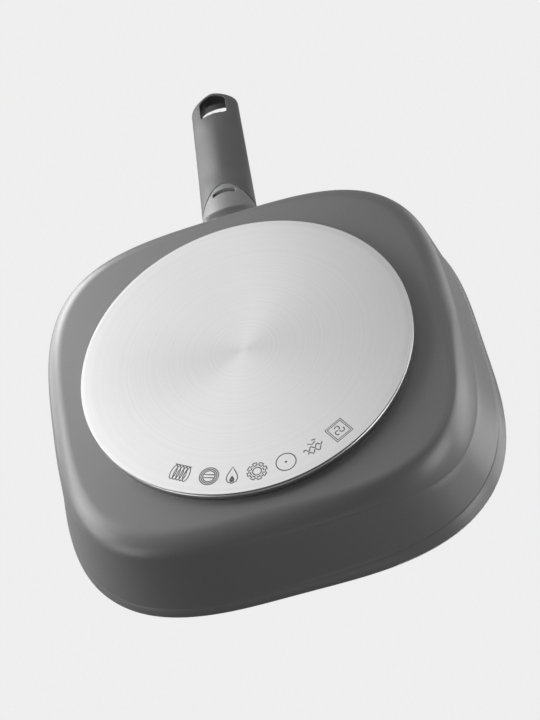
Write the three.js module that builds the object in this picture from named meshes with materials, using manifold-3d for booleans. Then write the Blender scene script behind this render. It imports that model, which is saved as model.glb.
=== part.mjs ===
// Square cast grill pan with a round hob base, a corner pouring spout
// and a handle that clicks off. Millimetres, +Z up, handle along +X,
// origin in the middle of the face that stands on the hob.
import * as THREE from 'three';
import { mergeVertices } from 'three/addons/utils/BufferGeometryUtils.js';
import Module from 'manifold-3d';

const wasm = await Module();
wasm.setup();

// Pan casting
const RIM_WIDTH = 247;
const PAN_HEIGHT = 54;
const WALL = 3.5;
const FLOOR = 5;
const WALL_FLARE_DEG = 12.1;
const SHOULDER_RADIUS = 12;
const INNER_RADIUS = 9;
const RIM_SQUARENESS = 3.15;
const BASE_SQUARENESS = 3.45;
const RIM_ROUND = 1.4;
const LIP_HEIGHT = 6;
const LIP_STEP = 0.6;

// Pouring spout in the corner away from the handle
const SPOUT_DIRECTION_DEG = 137;
const SPOUT_HALF_SPAN_DEG = 54;
const SPOUT_REACH = 3.6;
const SPOUT_LEAN = 1.6;
const SPOUT_TUCK = 1.8;
const CREASE_DIRECTION_DEG = 126;
const CREASE_HALF_SPAN_DEG = 44;
const CREASE_LOW_DROP = 35;
const CREASE_HIGH_DROP = 28;

// Grill ribs on the floor, in line with the handle
const RIB_PITCH = 14;
const RIB_FOOT = 5.4;
const RIB_TOP = 3;
const RIB_HEIGHT = 3;
const RIB_RUNOUT = 5;
const MOAT = 8;

// Hob base
const DISC_DIAMETER = 183.5;
const DISC_BEVEL = 0.5;
const PLATE_THICKNESS = 1.2;
const CORE_THICKNESS = 4.4;
const CORE_INSET = 0.5;

// Handle line: where it leaves the rim, its slope and its section
const HANDLE_PITCH_DEG = 13;
const HANDLE_UNDERSIDE_DROP = 24;
const HANDLE_LENGTH = 173;
const HANDLE_FRONT = 10;
const ROOT_HALF_WIDTH = 17.4;
const END_HALF_WIDTH = 16.3;
const ROOT_KEEL = 10.5;
const END_KEEL = 7;
const ROOT_CROWN = 11;
const END_CROWN = 6.8;
const END_ROUND = 14;
const KEEL_POWER = 1.75;
const END_KEEL_POWER = 2.1;
const END_FULLNESS = 0.75;
const CROWN_POWER = 2.4;

// Neck bracket on the pan wall
const BRACKET_LENGTH = 50;
const BRACKET_NOSE_START = 30;
const BRACKET_NOSE_HALF = 16.8;
const BRACKET_TOP = 11;
const BRACKET_FLOOR = 4;
const BRACKET_FOOT_HALF = 22;
const BRACKET_FOOT_DROP = 4;
const BRACKET_WAIST_RISE = 5;
const SOCKET_START = 24;

// Catch slot in the underside of the bracket
const SLOT_LENGTH = 14.4;
const SLOT_WIDTH = 3.9;
const SLOT_BOW = 0.9;
const SLOT_SETBACK = 8;

// Rivets through the pan wall
const RIVET_RADIUS = 2.2;
const RIVET_HEAD_RADIUS = 5.2;
const RIVET_HEAD_HEIGHT = 1.8;
const RIVET_SPACING = 20;
const RIVET_BITE = 7;
const RIVET_DROP = 20;

// Tang, latch and button inside the handle
const TANG_HALF_WIDTH = 8.7;
const TANG_THICKNESS = 3.5;
const TANG_CORNER = 3;
const WINDOW_HALF_WIDTH = 4.6;
const WINDOW_MARGIN = 2.8;
const PIN_RADIUS = 1;
const PIN_BEHIND_NOSE = 13.5;
const LATCH_ARM = 1.5;
const LATCH_HOOK_DEPTH = 1.6;
const LATCH_HOOK_THICKNESS = 1.7;
const LATCH_TAIL = 24;
const SPRING_RADIUS = 2.4;
const SPRING_WIRE = 0.7;
const SPRING_TURNS = 4;
const SPRING_WELL = 2;
const BUTTON_TRAVEL = 2.5;
const BUTTON_LENGTH = 17;
const BUTTON_WIDTH = 11.5;
const BUTTON_PROUD = 1.1;
const BUTTON_FLANGE = 1.3;
const BUTTON_FLANGE_BORDER = 1.6;
const SCREW_RADIUS = 1.4;
const SCREW_HEAD_RADIUS = 3.1;
const SCREW_HEAD_HEIGHT = 1.8;
const SCREW_BITE = 2;
const SCREW_SPACING = 9;
const SCREW_EDGE = 2.2;

// Top cover of the handle
const COVER_LEDGE = 4;
const COVER_HALF_WIDTH = 10.5;
const COVER_CORNER = 6;

// Hanging hole at the end of the handle
const HOLE_LENGTH = 25.4;
const HOLE_WIDTH = 17.4;
const HOLE_ARCH = 7.5;
const HOLE_CORNER = 2.2;
const HOLE_END_WALL = 4.6;
const HOLE_FLARE = 2.6;

// Clearances
const SEAT = 0.3;
const SLIDE = 0.35;
const RUN = 0.15;

const RINGS_AROUND = 96;
const SECTION_AROUND = 40;
const UNDERCUT = 20;

const rad = THREE.MathUtils.degToRad;
const clamp = THREE.MathUtils.clamp;
const lerp = THREE.MathUtils.lerp;

// A closed skin over rings of points, with its first and last ring capped
function loft(rings) {
  const around = rings[0].length;
  const positions = [];
  const indices = [];
  for (const ring of rings) {
    for (const point of ring) positions.push(point.x, point.y, point.z);
  }
  for (let i = 0; i + 1 < rings.length; i += 1) {
    for (let j = 0; j < around; j += 1) {
      const next = (j + 1) % around;
      const a = i * around + j;
      const b = i * around + next;
      const c = b + around;
      const d = a + around;
      indices.push(a, b, c, a, c, d);
    }
  }
  const caps = [rings[0], rings[rings.length - 1]];
  caps.forEach((ring, end) => {
    const middle = new THREE.Vector3();
    ring.forEach((point) => middle.add(point));
    middle.divideScalar(around);
    const hub = positions.length / 3;
    positions.push(middle.x, middle.y, middle.z);
    const start = end ? (rings.length - 1) * around : 0;
    for (let j = 0; j < around; j += 1) {
      const a = start + j;
      const b = start + ((j + 1) % around);
      if (end) indices.push(hub, a, b);
      else indices.push(hub, b, a);
    }
  });
  const geometry = new THREE.BufferGeometry();
  geometry.setAttribute('position', new THREE.Float32BufferAttribute(positions, 3));
  geometry.setIndex(indices);
  return geometry;
}

// Geometry to solid and back, for joining and cutting
function solid(geometry) {
  const bare = geometry.clone();
  bare.deleteAttribute('normal');
  bare.deleteAttribute('uv');
  const merged = mergeVertices(bare, 1e-4);
  return new wasm.Manifold(new wasm.Mesh({
    numProp: 3,
    vertProperties: new Float32Array(merged.attributes.position.array),
    triVerts: new Uint32Array(merged.index.array),
  }));
}

function geometryOf(body) {
  const mesh = body.getMesh();
  const geometry = new THREE.BufferGeometry();
  const points = new Float32Array(mesh.vertProperties);
  geometry.setAttribute('position', new THREE.Float32BufferAttribute(points, 3));
  geometry.setIndex(Array.from(mesh.triVerts));
  geometry.computeVertexNormals();
  return geometry;
}

function box(x0, x1, y0, y1, z0, z1) {
  const geometry = new THREE.BoxGeometry(x1 - x0, y1 - y0, z1 - z0);
  return geometry.translate((x0 + x1) / 2, (y0 + y1) / 2, (z0 + z1) / 2);
}

// A plan outline raised between two heights
function prism(shape, z0, z1, curveSegments = 12) {
  const settings = { depth: z1 - z0, bevelEnabled: false, curveSegments };
  return new THREE.ExtrudeGeometry(shape, settings).translate(0, 0, z0);
}

// A round piece turned about Z, from (radius, height) pairs
function turned(profile, segments) {
  const points = profile.map(([r, z]) => new THREE.Vector2(r, z));
  return new THREE.LatheGeometry(points, segments).rotateX(Math.PI / 2);
}

function roundedRectangle(x0, x1, halfWidth, corner) {
  const shape = new THREE.Shape();
  const r = Math.min(corner, halfWidth, (x1 - x0) / 2);
  shape.moveTo(x0 + r, -halfWidth);
  shape.lineTo(x1 - r, -halfWidth);
  shape.absarc(x1 - r, -halfWidth + r, r, -Math.PI / 2, 0);
  shape.lineTo(x1, halfWidth - r);
  shape.absarc(x1 - r, halfWidth - r, r, 0, Math.PI / 2);
  shape.lineTo(x0 + r, halfWidth);
  shape.absarc(x0 + r, halfWidth - r, r, Math.PI / 2, Math.PI);
  shape.lineTo(x0, -halfWidth + r);
  shape.absarc(x0 + r, -halfWidth + r, r, Math.PI, Math.PI * 1.5);
  return shape;
}

// Pan casting: rings of rounded squares from the base out, up and back in
const standOff = PLATE_THICKNESS + CORE_THICKNESS;
const floorHeight = standOff + FLOOR;
const rimHalf = RIM_WIDTH / 2;
const flare = rad(WALL_FLARE_DEG);
const lipStart = PAN_HEIGHT - LIP_HEIGHT;

function squircle(halfWidth, squareness, angle) {
  const c = Math.abs(Math.cos(angle)) ** squareness;
  const s = Math.abs(Math.sin(angle)) ** squareness;
  return halfWidth * (c + s) ** (-1 / squareness);
}

function squarenessAt(z) {
  const climb = clamp((z - standOff) / (PAN_HEIGHT - standOff), 0, 1);
  return lerp(BASE_SQUARENESS, RIM_SQUARENESS, climb);
}

// A soft rise and fall over a span of angles, 1 in its middle
function hump(angle, middleDeg, halfSpanDeg) {
  const apart = angle - rad(middleDeg);
  const turn = Math.abs(Math.atan2(Math.sin(apart), Math.cos(apart)));
  return Math.cos(clamp(turn / rad(halfSpanDeg), 0, 1) * Math.PI / 2) ** 2;
}

const spoutShare = (angle) => hump(angle, SPOUT_DIRECTION_DEG, SPOUT_HALF_SPAN_DEG);
const creaseShare = (angle) => hump(angle, CREASE_DIRECTION_DEG, CREASE_HALF_SPAN_DEG);

// The crease under the spout arches up over the corner
function creaseHeight(angle) {
  return PAN_HEIGHT - lerp(CREASE_LOW_DROP, CREASE_HIGH_DROP, creaseShare(angle) ** 0.7);
}

// How far the spout moves the wall at an angle and a height: drawn in up
// to the crease, then leaning out to the lip
function spoutReach(angle, z) {
  const crease = creaseHeight(angle);
  const tuck = -SPOUT_TUCK * creaseShare(angle);
  if (z < crease) return tuck * clamp((z - standOff) / (crease - standOff), 0, 1);
  if (z >= lipStart) return SPOUT_REACH * spoutShare(angle);
  return lerp(tuck, SPOUT_LEAN * spoutShare(angle), (z - crease) / (lipStart - crease));
}

// A ring of the casting. Half width and height may change with the angle.
function panRing(halfAt, heightAt) {
  const ring = [];
  for (let i = 0; i < RINGS_AROUND; i += 1) {
    const angle = (i / RINGS_AROUND) * Math.PI * 2;
    const z = heightAt(angle);
    const reach = squircle(halfAt(z), squarenessAt(z), angle) + spoutReach(angle, z);
    ring.push(new THREE.Vector3(reach * Math.cos(angle), reach * Math.sin(angle), z));
  }
  return ring;
}

const levelRing = ([half, z]) => panRing(() => half, () => z);

// Half width of the outer wall face at a height above the shoulder
function wallHalf(z) {
  return rimHalf - LIP_STEP - (PAN_HEIGHT - z) * Math.tan(flare);
}

// Centre of a fillet that runs from a flat at height z into the flared wall
function filletCentre(z, radius, inset) {
  const line = wallHalf(z + radius) - inset / Math.cos(flare);
  return line - radius / Math.cos(flare);
}

function fillet(z, radius, inset, steps) {
  const centre = filletCentre(z, radius, inset);
  const arc = [];
  for (let i = 0; i <= steps; i += 1) {
    const turn = (i / steps) * (Math.PI / 2 - flare);
    arc.push([centre + radius * Math.sin(turn), z + radius * (1 - Math.cos(turn))]);
  }
  return arc;
}

const innerHalf = (z) => wallHalf(z) - WALL / Math.cos(flare);
const shoulder = fillet(standOff, SHOULDER_RADIUS, 0, 6);
const innerCorner = fillet(floorHeight, INNER_RADIUS, WALL, 5);
const shoulderTop = shoulder[shoulder.length - 1][1];
const belowCrease = (angle) => (shoulderTop + creaseHeight(angle)) / 2;
const aboveCrease = (angle) => (creaseHeight(angle) + lipStart) / 2;

function outerRings(grow) {
  const wallAt = (z) => wallHalf(z) + grow;
  const underLip = (angle) => (
    lipStart - LIP_STEP - (SPOUT_REACH - SPOUT_LEAN) * spoutShare(angle)
  );
  const raised = (z) => z - grow * (1 - (z - standOff) / SHOULDER_RADIUS);
  return [
    levelRing([shoulder[0][0] * 0.5, standOff - grow]),
    ...shoulder.map(([half, z]) => levelRing([half + grow, raised(z)])),
    panRing(wallAt, belowCrease),
    panRing(wallAt, creaseHeight),
    panRing(wallAt, aboveCrease),
    panRing(() => wallAt(lipStart), underLip),
    levelRing([wallAt(lipStart) + LIP_STEP, lipStart]),
  ];
}

const crown = [
  [rimHalf, PAN_HEIGHT - RIM_ROUND],
  [rimHalf - RIM_ROUND * 0.3, PAN_HEIGHT - RIM_ROUND * 0.3],
  [rimHalf - RIM_ROUND, PAN_HEIGHT],
  [innerHalf(PAN_HEIGHT) + RIM_ROUND * 0.6, PAN_HEIGHT],
  [innerHalf(PAN_HEIGHT - RIM_ROUND), PAN_HEIGHT - RIM_ROUND],
];
const insideRings = [
  panRing(innerHalf, () => lipStart - LIP_STEP),
  panRing(innerHalf, aboveCrease),
  panRing(innerHalf, creaseHeight),
  ...innerCorner.slice().reverse().map(levelRing),
  levelRing([innerCorner[0][0] * 0.5, floorHeight]),
];
let panSolid = solid(loft([...outerRings(0), ...crown.map(levelRing), ...insideRings]));

// The casting's outer form grown by a clearance, to seat pieces against
function panEnvelope(grow) {
  return loft([...outerRings(grow), levelRing([rimHalf + grow, PAN_HEIGHT + grow])]);
}

// Ribs stop short of the floor's edge and leave a channel round them
const floorHalf = innerCorner[0][0];
const ribField = floorHalf - MOAT;
const ribSquareness = squarenessAt(floorHeight);

function ribSection(x, y, share) {
  const foot = floorHeight - FLOOR * 0.2;
  const top = floorHeight + RIB_HEIGHT * share;
  const shoulderZ = floorHeight + RIB_HEIGHT * share * 0.7;
  const outline = [
    [-RIB_FOOT / 2, foot],
    [RIB_FOOT / 2, foot],
    [RIB_FOOT / 2, floorHeight],
    [RIB_TOP / 2, shoulderZ],
    [RIB_TOP * 0.3, top],
    [-RIB_TOP * 0.3, top],
    [-RIB_TOP / 2, shoulderZ],
    [-RIB_FOOT / 2, floorHeight],
  ];
  return outline.map(([across, z]) => new THREE.Vector3(x, y + across, z));
}

const ribsEachSide = Math.floor((ribField - RIB_FOOT) / RIB_PITCH);
for (let i = -ribsEachSide; i <= ribsEachSide; i += 1) {
  const y = i * RIB_PITCH;
  const edge = Math.abs(y) + RIB_FOOT / 2;
  const room = ribField ** ribSquareness - edge ** ribSquareness;
  const half = room ** (1 / ribSquareness);
  const rib = loft([
    ribSection(-half, y, 0.1),
    ribSection(-half + RIB_RUNOUT, y, 1),
    ribSection(half - RIB_RUNOUT, y, 1),
    ribSection(half, y, 0.1),
  ]);
  panSolid = panSolid.add(solid(rib));
}

// Rivets stand square to the wall, heads inside the pan
const rivetHeight = PAN_HEIGHT - RIVET_DROP;
const rivetLength = WALL + SEAT + RIVET_BITE;
const rivetTurn = new THREE.Matrix4().makeRotationY(Math.PI / 2 + flare);

function rivetPlace(side) {
  const x = innerHalf(rivetHeight);
  const y = (side * RIVET_SPACING) / 2;
  return new THREE.Matrix4().makeTranslation(x, y, rivetHeight).multiply(rivetTurn);
}

function rivetHole(side, depth) {
  const hole = turned([[0, -WALL], [RIVET_RADIUS + SEAT, -WALL],
    [RIVET_RADIUS + SEAT, depth], [0, depth]], 20);
  return hole.applyMatrix4(rivetPlace(side));
}

const rivetGeometry = turned([
  [0, -RIVET_HEAD_HEIGHT - SEAT],
  [RIVET_HEAD_RADIUS * 0.5, -RIVET_HEAD_HEIGHT * 0.85 - SEAT],
  [RIVET_HEAD_RADIUS * 0.85, -RIVET_HEAD_HEIGHT * 0.5 - SEAT],
  [RIVET_HEAD_RADIUS, -SEAT],
  [RIVET_RADIUS, -SEAT],
  [RIVET_RADIUS, rivetLength - SEAT],
  [0, rivetLength - SEAT],
], 20);

for (const side of [-1, 1]) {
  panSolid = panSolid.subtract(solid(rivetHole(side, WALL * 3)));
}

// Handle frame: x along the handle from the rim out, z square to it
const handle = new THREE.Group();
handle.position.set(rimHalf + SEAT, 0, PAN_HEIGHT - HANDLE_UNDERSIDE_DROP);
handle.rotation.y = -rad(HANDLE_PITCH_DEG);
handle.updateMatrixWorld();
const toHandle = handle.matrixWorld.clone().invert();

// Section of the handle: a soft keel below, a flatter crown above
const bodyEnd = HANDLE_LENGTH - END_ROUND;

function sizesAt(u) {
  const share = clamp((u - HANDLE_FRONT) / (bodyEnd - HANDLE_FRONT), 0, 1);
  return {
    half: lerp(ROOT_HALF_WIDTH, END_HALF_WIDTH, share),
    keel: lerp(ROOT_KEEL, END_KEEL, share),
    crown: lerp(ROOT_CROWN, END_CROWN, share),
  };
}

function handleRing(u, { half, keel, crown: rise, level, keelPower = KEEL_POWER }) {
  const ring = [];
  for (let i = 0; i < SECTION_AROUND; i += 1) {
    const turn = (i / SECTION_AROUND) * Math.PI * 2;
    const c = Math.cos(turn);
    const s = Math.sin(turn);
    const power = 2 / (s < 0 ? keelPower : CROWN_POWER);
    const across = half * Math.sign(c) * Math.abs(c) ** power;
    const depth = (s < 0 ? -keel : rise) * Math.abs(s) ** power;
    ring.push(new THREE.Vector3(u, across, level + depth));
  }
  return ring;
}

function handleForm(lift) {
  const rings = [];
  const stations = 6;
  for (let i = 0; i <= stations; i += 1) {
    const u = lerp(HANDLE_FRONT, bodyEnd, i / stations);
    const sizes = sizesAt(u);
    rings.push(handleRing(u, { ...sizes, level: sizes.keel + lift }));
  }
  const last = sizesAt(bodyEnd);
  for (const turnDeg of [18, 34, 48, 61, 73, 83]) {
    const share = Math.cos(rad(turnDeg));
    const soft = 0.8 + 0.2 * share;
    const u = bodyEnd + END_ROUND * Math.sin(rad(turnDeg));
    rings.push(handleRing(u, {
      half: last.half * share ** END_FULLNESS,
      keel: last.keel * soft,
      crown: last.crown * soft,
      level: last.keel + lift,
      keelPower: lerp(END_KEEL_POWER, KEEL_POWER, share),
    }));
  }
  return loft(rings);
}

// Plan outline of the bracket: wide at the wall, a rounded nose outward
function noseOutline(grow) {
  const shape = new THREE.Shape();
  const half = BRACKET_NOSE_HALF + grow;
  const tip = BRACKET_LENGTH + grow;
  const side = [
    [-UNDERCUT * 2, BRACKET_FOOT_HALF * 1.5 + grow],
    [0, BRACKET_FOOT_HALF + grow],
    [BRACKET_NOSE_START * 0.26, lerp(ROOT_HALF_WIDTH, BRACKET_FOOT_HALF, 0.45) + grow],
    [BRACKET_NOSE_START * 0.45, ROOT_HALF_WIDTH + SLIDE + grow],
  ];
  shape.moveTo(side[0][0], -side[0][1]);
  side.slice(1).forEach(([u, v]) => shape.lineTo(u, -v));
  shape.lineTo(BRACKET_NOSE_START, -half);
  shape.quadraticCurveTo(tip, -half / 2, tip, 0);
  shape.quadraticCurveTo(tip, half / 2, BRACKET_NOSE_START, half);
  side.slice().reverse().forEach(([u, v]) => shape.lineTo(u, v));
  return shape;
}

// Bracket body: the handle's own section near the nose, a hollow waist
// under it and a wide foot at the wall
function bracketForm() {
  const stations = [
    [-UNDERCUT / BRACKET_NOSE_START, 1, -BRACKET_FOOT_DROP],
    [0.02, 0.95, -BRACKET_FOOT_DROP],
    [0.167, 0.62, -BRACKET_FOOT_DROP * 0.5],
    [0.32, 0.3, BRACKET_WAIST_RISE * 0.65],
    [0.45, 0.08, BRACKET_WAIST_RISE],
    [0.56, 0, BRACKET_WAIST_RISE * 0.95],
    [0.64, 0, BRACKET_WAIST_RISE * 0.6],
    [0.72, 0, BRACKET_WAIST_RISE * 0.28],
    [0.8, 0, BRACKET_WAIST_RISE * 0.07],
    [0.9, 0, 0],
    [(BRACKET_LENGTH + END_ROUND) / BRACKET_NOSE_START, 0, 0],
  ];
  const rings = stations.map(([share, foot, rise]) => {
    const u = share * BRACKET_NOSE_START;
    const sizes = sizesAt(u);
    const half = lerp(sizes.half, BRACKET_FOOT_HALF, foot);
    return handleRing(u, { half, keel: sizes.keel - rise, crown: sizes.crown, level: sizes.keel });
  });
  return loft(rings);
}

const tangBottom = BRACKET_FLOOR + SLIDE;
const tangTop = tangBottom + TANG_THICKNESS;
const pinU = BRACKET_LENGTH + PIN_BEHIND_NOSE;
const pinW = tangBottom + TANG_THICKNESS / 2;
const tailU = pinU + LATCH_TAIL;
const tailEnd = tailU + LATCH_ARM;
const hookU = BRACKET_LENGTH - SLOT_SETBACK;
const hookBack = hookU + LATCH_HOOK_THICKNESS / 2;
const hookFront = hookBack - LATCH_HOOK_THICKNESS;
const latchNose = hookFront - SLOT_BOW;
const latchAngle = BUTTON_TRAVEL / LATCH_TAIL;
const frontRise = (pinU - hookU + SLOT_WIDTH) * latchAngle;
const armBottom = BRACKET_FLOOR + SEAT + RUN;
const armTop = armBottom + LATCH_ARM;
const socketTop = Math.max(tangTop + SLIDE, armTop + frontRise + SEAT);
const flangeBottom = tangTop + RUN + BUTTON_TRAVEL + RUN;
const flangeTop = flangeBottom + BUTTON_FLANGE;
const tailTop = flangeBottom - SEAT;
const coverSeat = flangeTop;
const coverBottom = coverSeat + SEAT;
const cavityHalf = TANG_HALF_WIDTH + SLIDE;
const tangStart = SOCKET_START + SEAT;
const windowStart = latchNose - WINDOW_MARGIN;
const windowEnd = tailEnd + WINDOW_MARGIN;
const flangeEnd = tailU + BUTTON_LENGTH / 2 + BUTTON_FLANGE_BORDER;
const firstScrew = Math.max(flangeEnd + SEAT, windowEnd + SCREW_EDGE) + SCREW_HEAD_RADIUS;
const screwU = [firstScrew, firstScrew + SCREW_SPACING];
const tangEnd = screwU[1] + SCREW_HEAD_RADIUS + SCREW_EDGE;
const cavityEnd = tangEnd + SEAT;
const coverStart = BRACKET_LENGTH + SEAT + RIM_ROUND;
const coverEnd = cavityEnd + COVER_LEDGE;

// Slot outline: two bowed long edges, as wide at its ends as in the middle
function slotOutline() {
  const shape = new THREE.Shape();
  const half = SLOT_LENGTH / 2;
  const near = hookU - SLOT_BOW - SLOT_WIDTH / 2;
  const far = near + SLOT_WIDTH;
  shape.moveTo(near, -half);
  shape.lineTo(far, -half);
  shape.quadraticCurveTo(far + SLOT_BOW * 2, 0, far, half);
  shape.lineTo(near, half);
  shape.quadraticCurveTo(near + SLOT_BOW * 2, 0, near, -half);
  return shape;
}

let bracketSolid = solid(bracketForm())
  .intersect(solid(prism(noseOutline(0), -UNDERCUT, BRACKET_TOP, 24)))
  .subtract(solid(panEnvelope(SEAT).applyMatrix4(toHandle)))
  .subtract(solid(box(SOCKET_START, BRACKET_LENGTH + UNDERCUT, -cavityHalf, cavityHalf,
    BRACKET_FLOOR, socketTop)))
  .subtract(solid(prism(slotOutline(), -UNDERCUT, BRACKET_FLOOR + SEAT, 6)));
for (const side of [-1, 1]) {
  const hole = rivetHole(side, rivetLength + SEAT).applyMatrix4(toHandle);
  bracketSolid = bracketSolid.subtract(solid(hole));
}

// Hanging hole: square towards the pan, arched along the handle's end
function holeOutline(grow) {
  const shape = new THREE.Shape();
  const half = HOLE_WIDTH / 2;
  const arch = HANDLE_LENGTH - HOLE_END_WALL - HOLE_ARCH;
  const corner = HANDLE_LENGTH - HOLE_END_WALL - HOLE_LENGTH + HOLE_CORNER;
  const round = HOLE_CORNER + grow;
  const side = half - HOLE_CORNER;
  shape.moveTo(corner, -half - grow);
  shape.lineTo(arch, -half - grow);
  shape.absellipse(arch, 0, HOLE_ARCH + grow, half + grow, -Math.PI / 2, Math.PI / 2);
  shape.lineTo(corner, half + grow);
  shape.absarc(corner, side, round, Math.PI / 2, Math.PI);
  shape.lineTo(corner - round, -side);
  shape.absarc(corner, -side, round, Math.PI, Math.PI * 1.5);
  return shape;
}

function holeRing(grow, w) {
  const points = holeOutline(grow).getPoints(8).slice(0, -1);
  return points.map((point) => new THREE.Vector3(point.x, point.y, w));
}

// The hole opens out towards the handle's top
const hangingHole = prism(holeOutline(0), -UNDERCUT, UNDERCUT * 2, 8);
const holeMouth = loft([
  holeRing(0, END_KEEL),
  holeRing(HOLE_FLARE * 2, END_KEEL + END_CROWN * 2),
]);

// Grip: the handle's outer moulding
const notch = prism(noseOutline(SLIDE), -UNDERCUT, BRACKET_TOP + SLIDE, 24);
const cavity = box(BRACKET_NOSE_START, cavityEnd, -cavityHalf, cavityHalf, BRACKET_FLOOR, coverSeat + SEAT);
const coverOutline = (grow) => roundedRectangle(
  coverStart - grow,
  coverEnd + grow,
  COVER_HALF_WIDTH + grow,
  COVER_CORNER + grow,
);
const screwSeat = tangTop + SEAT;
const screwTip = BRACKET_FLOOR - SCREW_BITE;

function screwHole(u) {
  const radius = SCREW_RADIUS + SEAT;
  const hole = turned([[0, screwTip - SEAT], [radius, screwTip - SEAT],
    [radius, screwSeat + SEAT], [0, screwSeat + SEAT]], 16);
  return hole.translate(u, 0, 0);
}

const handleSolid = solid(handleForm(0));
let gripSolid = handleSolid
  .subtract(solid(notch))
  .subtract(solid(cavity))
  .subtract(solid(prism(coverOutline(SEAT), coverSeat, UNDERCUT * 2)))
  .subtract(solid(hangingHole))
  .subtract(solid(holeMouth));
let tangSolid = solid(prism(
  roundedRectangle(tangStart, tangEnd, TANG_HALF_WIDTH, TANG_CORNER),
  tangBottom,
  tangTop,
  6,
));
tangSolid = tangSolid.subtract(solid(box(
  windowStart,
  windowEnd,
  -WINDOW_HALF_WIDTH,
  WINDOW_HALF_WIDTH,
  tangBottom - SEAT,
  tangTop + SEAT,
)));
for (const u of screwU) {
  gripSolid = gripSolid.subtract(solid(screwHole(u)));
  tangSolid = tangSolid.subtract(solid(screwHole(u)));
}

// Pin across the two rails of the tang
const pinLength = (TANG_HALF_WIDTH - SEAT) * 2;
const pinHole = new THREE.CylinderGeometry(PIN_RADIUS + RUN, PIN_RADIUS + RUN, TANG_HALF_WIDTH * 3, 16);
tangSolid = tangSolid.subtract(solid(pinHole.translate(pinU, 0, pinW)));
const pinGeometry = new THREE.CylinderGeometry(PIN_RADIUS, PIN_RADIUS, pinLength, 16);
pinGeometry.translate(pinU, 0, pinW);

// Latch: a rocker on the pin, hook in front and tail behind under the button
const bossRadius = pinW - BRACKET_FLOOR - SEAT / 2;
const hookTip = BRACKET_FLOOR - LATCH_HOOK_DEPTH;
const latchHalf = WINDOW_HALF_WIDTH - SLIDE;

function latchOutline() {
  const shape = new THREE.Shape();
  const slope = (tailTop - tangTop) / LATCH_TAIL;
  shape.moveTo(latchNose, armTop);
  shape.lineTo(latchNose, armBottom);
  shape.lineTo(hookFront - RUN, armBottom);
  shape.lineTo(hookFront + RUN, hookTip);
  shape.lineTo(hookBack, hookTip);
  shape.lineTo(hookBack, armBottom);
  shape.lineTo(pinU - bossRadius, armBottom);
  shape.absarc(pinU, pinW, bossRadius, Math.PI * 1.1, Math.PI * 1.9);
  shape.lineTo(tailU, tailTop - LATCH_ARM * 1.4);
  shape.lineTo(tailEnd, tailTop - LATCH_ARM);
  shape.lineTo(tailU, tailTop);
  shape.lineTo(tailU - LATCH_ARM, tailTop - slope * LATCH_ARM * 1.4);
  shape.lineTo(pinU + bossRadius, tangTop + slope * bossRadius);
  shape.absarc(pinU, pinW, bossRadius, Math.PI * 0.4, Math.PI * 0.75);
  const hole = new THREE.Path();
  hole.absarc(pinU, pinW, PIN_RADIUS + RUN, 0, Math.PI * 2, true);
  shape.holes.push(hole);
  return shape;
}

const latchGeometry = prism(latchOutline(), -latchHalf, latchHalf, 8);
latchGeometry.rotateX(Math.PI / 2);

// Return spring: a coil that stands in a well of the grip, under the tail
const springU = tailU - SPRING_RADIUS - SPRING_WIRE;
const wellRadius = SPRING_RADIUS + SPRING_WIRE;
const wellFloor = BRACKET_FLOOR - SPRING_WELL;
const tailSlope = (tailTop - LATCH_ARM * 1.4 - pinW) / LATCH_TAIL;
const springTop = pinW + tailSlope * (springU - wellRadius - pinU) - SEAT * 2;
const springRise = springTop - wellFloor - SEAT - SPRING_WIRE;

class Coil extends THREE.Curve {
  getPoint(t, target = new THREE.Vector3()) {
    const turn = t * SPRING_TURNS * Math.PI * 2;
    const w = wellFloor + SEAT + SPRING_WIRE / 2 + springRise * t;
    return target.set(SPRING_RADIUS * Math.cos(turn), SPRING_RADIUS * Math.sin(turn), w);
  }
}

const wireSection = new THREE.Shape();
wireSection.absarc(0, 0, SPRING_WIRE / 2, 0, Math.PI * 2);
const springGeometry = new THREE.ExtrudeGeometry(wireSection, {
  steps: SPRING_TURNS * 9,
  curveSegments: 3,
  extrudePath: new Coil(),
});
springGeometry.translate(springU, 0, 0);
const well = turned([[0, wellFloor], [wellRadius, wellFloor],
  [wellRadius, tangBottom], [0, tangBottom]], 20);
gripSolid = gripSolid.subtract(solid(well.translate(springU, 0, 0)));

// Button: a thumb pad through the cover, with a flange that stays below it
const buttonStart = tailU - BUTTON_LENGTH / 2;
const pill = (grow) => roundedRectangle(
  buttonStart - grow,
  buttonStart + BUTTON_LENGTH + grow,
  BUTTON_WIDTH / 2 + grow,
  BUTTON_WIDTH / 2 + grow,
);
const buttonSolid = solid(handleForm(BUTTON_PROUD))
  .intersect(solid(prism(pill(0), flangeBottom + SEAT, UNDERCUT * 2)))
  .add(solid(prism(pill(BUTTON_FLANGE_BORDER), flangeBottom, flangeTop)));

const coverSolid = handleSolid
  .intersect(solid(prism(coverOutline(0), coverBottom, UNDERCUT * 2)))
  .subtract(solid(prism(pill(SLIDE), coverBottom - UNDERCUT, UNDERCUT * 2)));

const screwGeometry = turned([
  [0, screwTip],
  [SCREW_RADIUS, screwTip],
  [SCREW_RADIUS, screwSeat],
  [SCREW_HEAD_RADIUS, screwSeat],
  [SCREW_HEAD_RADIUS, screwSeat + SCREW_HEAD_HEIGHT * 0.5],
  [SCREW_HEAD_RADIUS * 0.6, screwSeat + SCREW_HEAD_HEIGHT],
  [0, screwSeat + SCREW_HEAD_HEIGHT],
], 16);

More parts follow.
